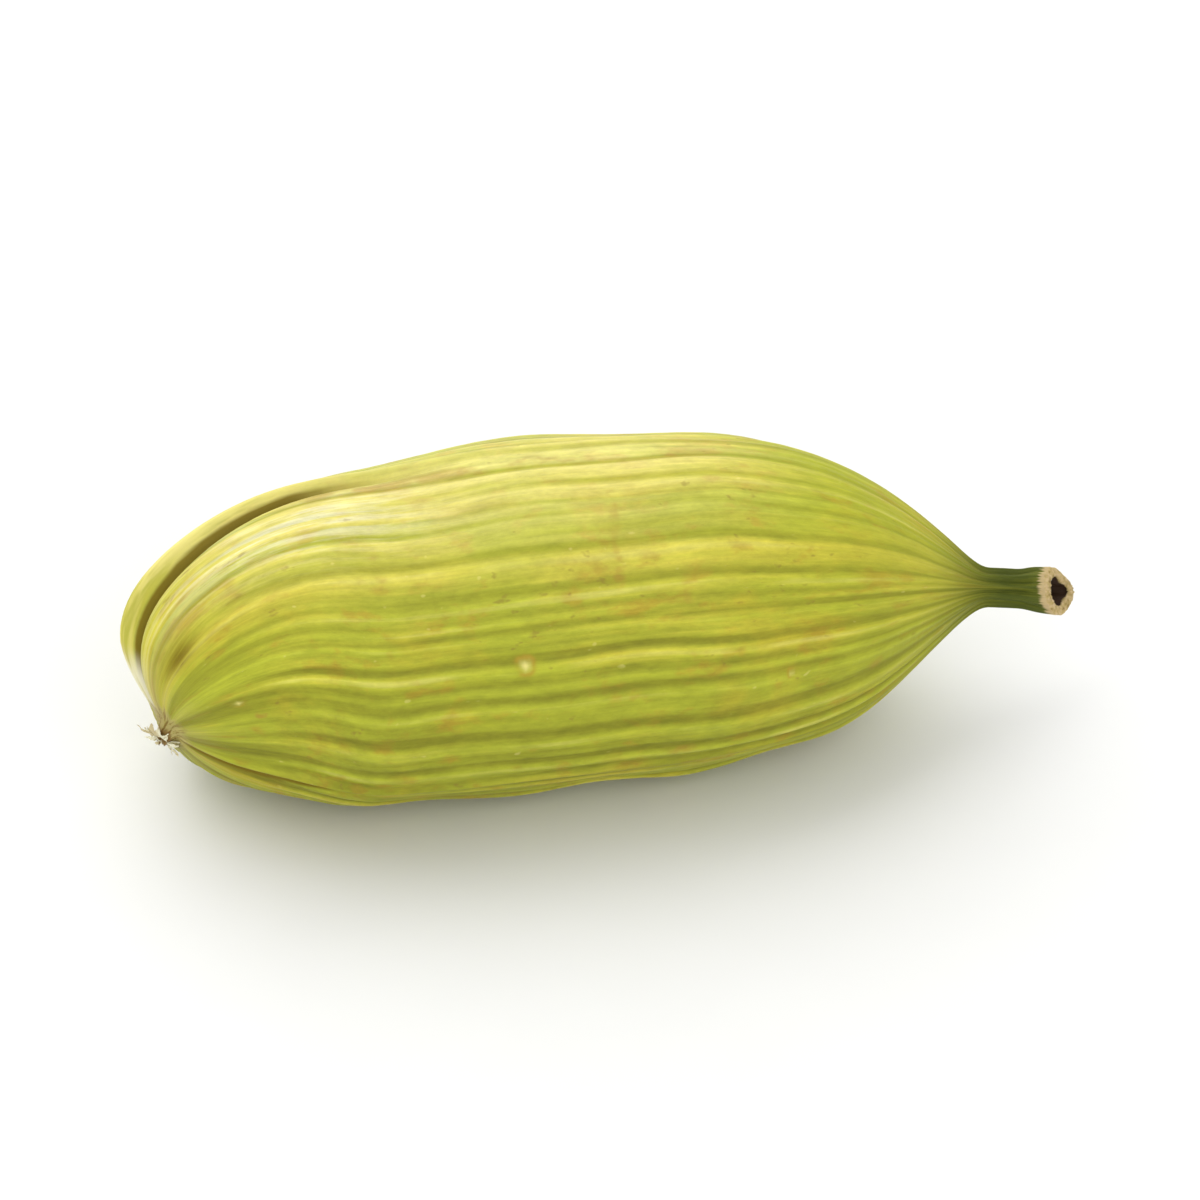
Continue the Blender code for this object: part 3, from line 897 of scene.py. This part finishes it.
def add_neck(colour, at, settings):
    """Olive shoulder and dark green neck, both darkened as painted shade, and the ragged pale edge of its
    break.
    """
    station = split(at)[0]
    where = noise(stretched(at, 0.3, 0.3, 0.3), detail=1.0)
    # painted shade: the shoulder turns olive and darker towards the neck
    shoulder = ramp(station + 1.5 * (where - 0.5), 11.8, 15.0)
    colour = blend(shoulder * 0.4, colour, settings.olive)
    # painted shade: the neck is coloured dark green as if in shadow, with darker and lighter streaks
    dark = noise(stretched(at, 0.6, 1.6, 1.6), detail=3.0, roughness=0.6)
    colour = blend(ramp(station, 14.2, 16.2) * (0.58 + 0.75 * dark), colour, settings.neck)
    cut_edge = ramp(station + 0.45 * (thread_noise(at) - 0.5), 17.2, 17.27)
    return blend(cut_edge * 0.85, colour, settings.rim)


def add_tip(colour, at, settings):
    """Withered tip, and the torn, pitted scar of the flower in the middle of it."""
    station = split(at)[0]
    tip = (1 - ramp(station, 0.0, 0.5)) * ramp(noise(at, scale=1.6, detail=4.0), 0.35, 0.65)
    colour = blend(tip * 0.3, colour, settings.tan)
    torn = noise(stretched(at, 7.0, 1.3, 1.3), detail=4.0, roughness=0.65)
    scar = 1 - ramp(station + 0.16 * (torn - 0.5), 0.02, 0.10)
    colour = blend(scar * ramp(torn, 0.4, 0.5, 0.5, 0.95), colour, settings.scar)
    pit = ramp(mask(at, "scar"), 0.4, 0.9) * (1 - ramp(station, -0.12, -0.05))
    return blend((scar * (1 - ramp(torn, 0.36, 0.5)) + pit) * 0.8, colour, settings.brown)


def add_break(colour, at, settings):
    """Pitted rim of the broken neck, its hollow coloured dark brown and deepened as painted shade, and the
    pith.
    """
    zone = mask(at, "zone")
    here = Field(at.socket.id_data.nodes.new("ShaderNodeTexCoord").outputs["Object"])
    pitted = noise(here, scale=11.0 / MM, detail=3.0, roughness=0.6)
    rim = blend(ramp(pitted, 0.35, 0.6), settings.rim, settings.tan)
    rim = blend(ramp(pitted, 0.56, 0.68) * 0.7, rim, settings.brown)
    colour = blend(1 - ramp(zone, 0.6, 0.95), colour, rim)
    pith = 1 - ramp(zone, -0.9, -0.2)
    # painted shade: the inside of the neck is coloured near black, lighter on the pith
    return blend((1 - ramp(zone, 0.05, 0.45)) * (1 - 0.3 * pith), colour, settings.hollow)


def husk_material(settings):
    material, tree, shader = new_material("husk_green")
    at = stored(tree, "grown_at", "Vector")
    _, up, front = split(at)
    ribs_away = calculate("ARCTAN2", front, up) * RIB_COUNT / TURN
    colour = husk_colour(at, ribs_away, settings)
    colour = add_flecks(colour, at, settings)
    colour = add_keel_marks(colour, at, ribs_away, settings)
    colour = add_neck(colour, at, settings)
    colour = add_tip(colour, at, settings)
    colour = add_break(colour, at, settings)
    connect(tree, shader.inputs["Base Color"], colour)
    dry = noise(stretched(at, 1.0, 2.0, 2.0), detail=3.0)
    rough = settings.roughness + 0.22 * (dry - 0.5) - 0.08 * mask(at, "crest")
    connect(tree, shader.inputs["Roughness"], rough)
    fibre = noise(stretched(at, 1.2, 14.0, 14.0), detail=5.0, roughness=0.7)
    fold = noise(stretched(at, 7.0, 1.6, 1.6), detail=4.0, roughness=0.65)
    inputs = {"Strength": 1.0, "Distance": settings.grain, "Height": fibre + 0.8 * fold}
    bump = add_node(tree, "ShaderNodeBump", inputs)
    connect(tree, shader.inputs["Normal"], Field(bump.outputs[0]))
    shader.inputs["Subsurface Weight"].default_value = 0.08
    shader.inputs["Subsurface Radius"].default_value = (1.0, 0.9, 0.3)
    shader.inputs["Subsurface Scale"].default_value = 0.2 * MM
    shader.inputs["Specular IOR Level"].default_value = 0.18
    return material


def shred_material(settings):
    material, tree, shader = new_material("shreds_dry")
    at = Field(tree.nodes.new("ShaderNodeTexCoord").outputs["Object"])
    paper = noise(at, scale=8.0 / MM, detail=4.0, roughness=0.65)
    withered = ramp(noise(at, scale=2.6 / MM) + 0.5 * (paper - 0.5), 0.42, 0.58)
    colour = blend(0.1 + 0.6 * withered, settings.paper, settings.tan)
    browned = ramp(mask(at, "along") + 0.5 * (paper - 0.5), 0.85, 1.1)
    colour = blend(browned * 0.5, colour, settings.brown)
    connect(tree, shader.inputs["Base Color"], colour)
    inputs = {"Strength": 0.8, "Distance": settings.grain, "Height": paper}
    bump = add_node(tree, "ShaderNodeBump", inputs)
    connect(tree, shader.inputs["Normal"], Field(bump.outputs[0]))
    shader.inputs["Roughness"].default_value = 0.75
    shader.inputs["Specular IOR Level"].default_value = 0.2
    return material


def husk_number(name, description, default, **more):
    return bpy.props.FloatProperty(name=name, description=description, default=default, precision=5, **more)


def colour_of(name, description, default):
    return bpy.props.FloatVectorProperty(
        name=name, description=description, default=default, subtype="COLOR", size=3, min=0.0, max=1.0
    )


class PodShape(bpy.types.PropertyGroup):
    """Sizes of the husk that may be changed."""

    ribs: bpy.props.IntProperty(name="Ribs", description="Number of ribs round the husk", default=RIB_COUNT)
    steps: bpy.props.IntProperty(name="Steps a Rib", description="Faces across each rib", default=10)
    cap_rings: bpy.props.IntProperty(name="Cap Rings", description="Rings on the blossom end", default=44)
    body_rings: bpy.props.IntProperty(name="Body Rings", description="Rings on the body", default=100)
    shoulder_rings: bpy.props.IntProperty(name="Shoulder Rings", description="Rings on the taper", default=34)
    neck_rings: bpy.props.IntProperty(name="Neck Rings", description="Rings on the neck", default=16)
    rim_rings: bpy.props.IntProperty(name="Rim Rings", description="Rings on the broken rim", default=7)
    rib_height: husk_number("Rib Height", "Height of a rib", 0.070 * MM, unit="LENGTH")
    unevenness: husk_number("Unevenness", "Share by which the ribs differ in height", 0.22)
    seed_height: husk_number("Seed Bumps", "Height of the bumps of the seeds", 0.15 * MM, unit="LENGTH")
    crinkle: husk_number("Crinkle", "Depth of the folds and dents of the dry husk", 0.03 * MM, unit="LENGTH")


class PodShreds(bpy.types.PropertyGroup):
    """Dry shreds of the flower."""

    count: bpy.props.IntProperty(name="Shreds", description="Number of shreds", default=19)
    length: husk_number("Shred Length", "Length of a shred", 0.31 * MM, unit="LENGTH")
    width: husk_number("Shred Width", "Half the width of a shred", 0.060 * MM, unit="LENGTH")
    thickness: husk_number("Shred Thickness", "Half the thickness of a shred", 0.010 * MM, unit="LENGTH")
    ring_radius: husk_number("Ring Radius", "Radius of the ring of shreds", 0.17 * MM, unit="LENGTH")
    curl: husk_number("Curl", "Share of its length that a shred bends out by", 0.35)
    seed: bpy.props.IntProperty(name="Seed", description="Seed of the shreds' turns and lengths", default=4)


class PodColours(bpy.types.PropertyGroup):
    """Colours of the husk."""

    green: colour_of("Green", "Crest of a green rib", (0.46, 0.49, 0.035))
    yellow: colour_of("Yellow", "Crest of a yellowed rib", (0.64, 0.57, 0.055))
    vein: colour_of("Vein", "Thin pale line along a crest", (0.76, 0.70, 0.18))
    olive: colour_of("Olive", "Between the ribs", (0.36, 0.37, 0.024))
    amber: colour_of("Amber", "Warmer patches", (0.60, 0.44, 0.035))
    groove: colour_of("Groove", "Darkest groove between the ribs", (0.24, 0.23, 0.015))
    stain: colour_of("Stain", "Soft orange-brown stains", (0.47, 0.30, 0.028))
    cream: colour_of("Cream", "Papery crest of the top keel", (0.86, 0.76, 0.25))
    rust: colour_of("Rust", "Brown lines beside the top keel, and marks", (0.40, 0.20, 0.035))
    brown: colour_of("Brown", "Flecks, pits and the dry tips of shreds", (0.22, 0.12, 0.03))
    # furrow is the painted shade in the keels' furrows and the short fold
    furrow: colour_of("Furrow", "Furrow beside the top keel", (0.20, 0.14, 0.001))
    # neck is the green skin of the neck darkened as painted shade
    neck: colour_of("Neck", "Skin of the neck", (0.075, 0.095, 0.008))
    scar: colour_of("Scar", "Torn scar of the flower", (0.50, 0.42, 0.15))
    tan: colour_of("Tan", "Withered tip", (0.48, 0.36, 0.13))
    rim: colour_of("Rim", "Broken rim of the neck", (0.64, 0.48, 0.25))
    # hollow is the dark brown inside of the neck, deepened as painted shade
    hollow: colour_of("Hollow", "Inside of the neck", (0.03, 0.012, 0.003))
    # paper also colours the painted highlight streak beside the top keel
    paper: colour_of("Paper", "Dry shreds and bleached skin", (0.90, 0.88, 0.66))
    roughness: husk_number("Roughness", "Roughness of the husk", 0.55, subtype="FACTOR")
    grain: husk_number("Grain", "Depth of the fibres in the material", 0.012 * MM, unit="LENGTH")


class PodStage(bpy.types.PropertyGroup):
    """Floor, lights and camera."""

    azimuth: husk_number("Azimuth", "Turn of the camera round the pod", math.radians(-10), subtype="ANGLE")
    elevation: husk_number("Elevation", "Height of the camera above level", math.radians(40), subtype="ANGLE")
    distance: husk_number("Distance", "From the camera to the pod", 0.45, unit="LENGTH")
    view_width: husk_number("View Width", "Width that the view takes in", 0.0222, unit="LENGTH")
    floor: colour_of("Floor", "Colour of the floor", (0.86, 0.86, 0.85))


class POD_OT_grow_husk(bpy.types.Operator):
    """Grow the ribbed husk with its keels, blossom end and broken neck"""

    bl_idname = "pod.grow_husk"
    bl_label = "Grow Husk"

    def execute(self, context):
        shape = context.scene.pod_shape
        outline = bpy.data.meshes.new("outline")
        outline.from_pydata(outline_points(shape), [], [])
        values = {
            "Steps Round": shape.ribs * shape.steps,
            "Ribs": float(shape.ribs),
            "Rib Height": shape.rib_height,
            "Rib Unevenness": shape.unevenness,
            "Seed Height": shape.seed_height,
            "Crinkle": shape.crinkle,
            "Merge Distance": MERGE_DISTANCE,
            "Material": husk_material(context.scene.pod_colours),
        }
        husk = run_tree("husk", outline, husk_tree(), values)
        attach(husk, "root")
        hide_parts("pod")
        return {"FINISHED"}


def ring_middle(husk, low, high):
    """Middle of the husk's vertices whose station lies between two, in millimetres."""
    grown = husk.data.attributes["grown_at"].data
    places = [vertex.co for vertex, at in zip(husk.data.vertices, grown) if low < at.vector.x < high]
    return sum(places, Vector()) / len(places)


class POD_OT_grow_shreds(bpy.types.Operator):
    """Grow the dry shreds of the flower round its scar"""

    bl_idname = "pod.grow_shreds"
    bl_label = "Grow Shreds"

    def execute(self, context):
        shreds = context.scene.pod_shreds
        husk = bpy.data.objects["husk"]
        top = ring_middle(husk, -0.2, -0.12)
        facing = (top - ring_middle(husk, 0.1, 0.5)).to_track_quat("Z", "Y").to_euler()
        values = {
            "Shreds": shreds.count,
            "Length": shreds.length,
            "Width": shreds.width,
            "Thickness": shreds.thickness,
            "Ring Radius": shreds.ring_radius,
            "Curl": shreds.curl,
            "Seed": shreds.seed,
            "Place": tuple(top),
            "Facing": tuple(facing),
            "Merge Distance": MERGE_DISTANCE,
            "Material": shred_material(context.scene.pod_colours),
        }
        guide = bpy.data.meshes.new("scar_place")
        guide.from_pydata([tuple(top)], [], [])
        grown = run_tree("shreds", guide, shreds_tree(), values)
        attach(grown, "root")
        return {"FINISHED"}


def add_light(name, place, target, size, power, colour=(1.0, 1.0, 1.0)):
    data = bpy.data.lights.new(name, "AREA")
    data.shape = "RECTANGLE"
    data.size, data.size_y = size
    data.energy = power
    data.color = colour
    light = bpy.data.objects.new(name, data)
    light.location = place
    light.rotation_euler = (Vector(target) - Vector(place)).to_track_quat("-Z", "Y").to_euler()
    bpy.context.scene.collection.objects.link(light)


def floor_material(colour):
    material, tree, shader = new_material("floor_pale")
    grain = noise(Field(tree.nodes.new("ShaderNodeTexCoord").outputs["Object"]), scale=400.0, detail=3.0)
    darker = tuple(0.97 * part for part in colour)
    connect(tree, shader.inputs["Base Color"], blend(grain, tuple(colour), darker))
    shader.inputs["Roughness"].default_value = 0.7
    return material


def lay_floor(colour):
    mesh = bpy.data.meshes.new("floor")
    signs = ((-1, -1), (1, -1), (1, 1), (-1, 1))
    mesh.from_pydata([(x * FLOOR_HALF, y * FLOOR_HALF, 0.0) for x, y in signs], [], [(0, 1, 2, 3)])
    mesh.materials.append(floor_material(colour))
    floor = bpy.data.objects.new("floor", mesh)
    bpy.context.scene.collection.objects.link(floor)


def add_camera(stage, target):
    azimuth, elevation = stage.azimuth, stage.elevation
    level = math.cos(elevation)
    back = Vector((math.sin(azimuth) * level, -math.cos(azimuth) * level, math.sin(elevation)))
    data = bpy.data.cameras.new("camera")
    data.sensor_width = 36.0
    data.lens = 36.0 * stage.distance / stage.view_width
    data.clip_start = 0.01
    data.clip_end = 10.0
    camera = bpy.data.objects.new("camera", data)
    camera.location = target + back * stage.distance
    camera.rotation_euler = (-back).to_track_quat("-Z", "Y").to_euler()
    bpy.context.scene.collection.objects.link(camera)
    bpy.context.scene.camera = camera


class POD_OT_set_stage(bpy.types.Operator):
    """Lay the pale floor and set the lights and the camera"""

    bl_idname = "pod.set_stage"
    bl_label = "Set Stage"

    def execute(self, context):
        stage = context.scene.pod_stage
        lay_floor(stage.floor)
        low, high = CAD_BOX
        middle = (low + high) / 2
        add_camera(stage, middle)
        add_light("back_window", (-0.12, 0.24, 0.30), middle, (0.75, 0.55), 1.75)
        add_light("front_fill", (0.05, -0.32, 0.26), middle, (0.40, 0.30), 0.42)
        world = bpy.data.worlds.new("studio")
        world.use_nodes = True
        shade = world.node_tree.nodes["Background"]
        shade.inputs["Color"].default_value = (1.0, 1.0, 1.0, 1.0)
        shade.inputs["Strength"].default_value = 0.72
        context.scene.world = world
        context.scene.view_settings.view_transform = "Standard"
        return {"FINISHED"}


class POD_PT_panel(bpy.types.Panel):
    """Buttons and sizes for the cardamom pod"""

    bl_label = "Cardamom Pod"
    bl_idname = "POD_PT_panel"
    bl_space_type = "VIEW_3D"
    bl_region_type = "UI"
    bl_category = "Cardamom"

    def draw(self, context):
        layout = self.layout
        for step in STEPS:
            layout.operator(step.bl_idname)
        for group in GROUPS:
            settings = getattr(context.scene, group)
            for name in settings.bl_rna.properties.keys():
                if name not in ("rna_type", "name"):
                    layout.prop(settings, name)


GROUPS = {"pod_shape": PodShape, "pod_shreds": PodShreds, "pod_colours": PodColours, "pod_stage": PodStage}
STEPS = (POD_OT_grow_husk, POD_OT_grow_shreds, POD_OT_set_stage)


def register():
    for kind in (*GROUPS.values(), *STEPS, POD_PT_panel):
        bpy.utils.register_class(kind)
    for name, kind in GROUPS.items():
        setattr(bpy.types.Scene, name, bpy.props.PointerProperty(type=kind))


def unregister():
    for name in GROUPS:
        delattr(bpy.types.Scene, name)
    for kind in (POD_PT_panel, *STEPS[::-1], *reversed(GROUPS.values())):
        bpy.utils.unregister_class(kind)


def main():
    register()
    bpy.ops.pod.grow_husk()
    bpy.ops.pod.grow_shreds()
    bpy.ops.pod.set_stage()


if __name__ == "__main__":
    main()
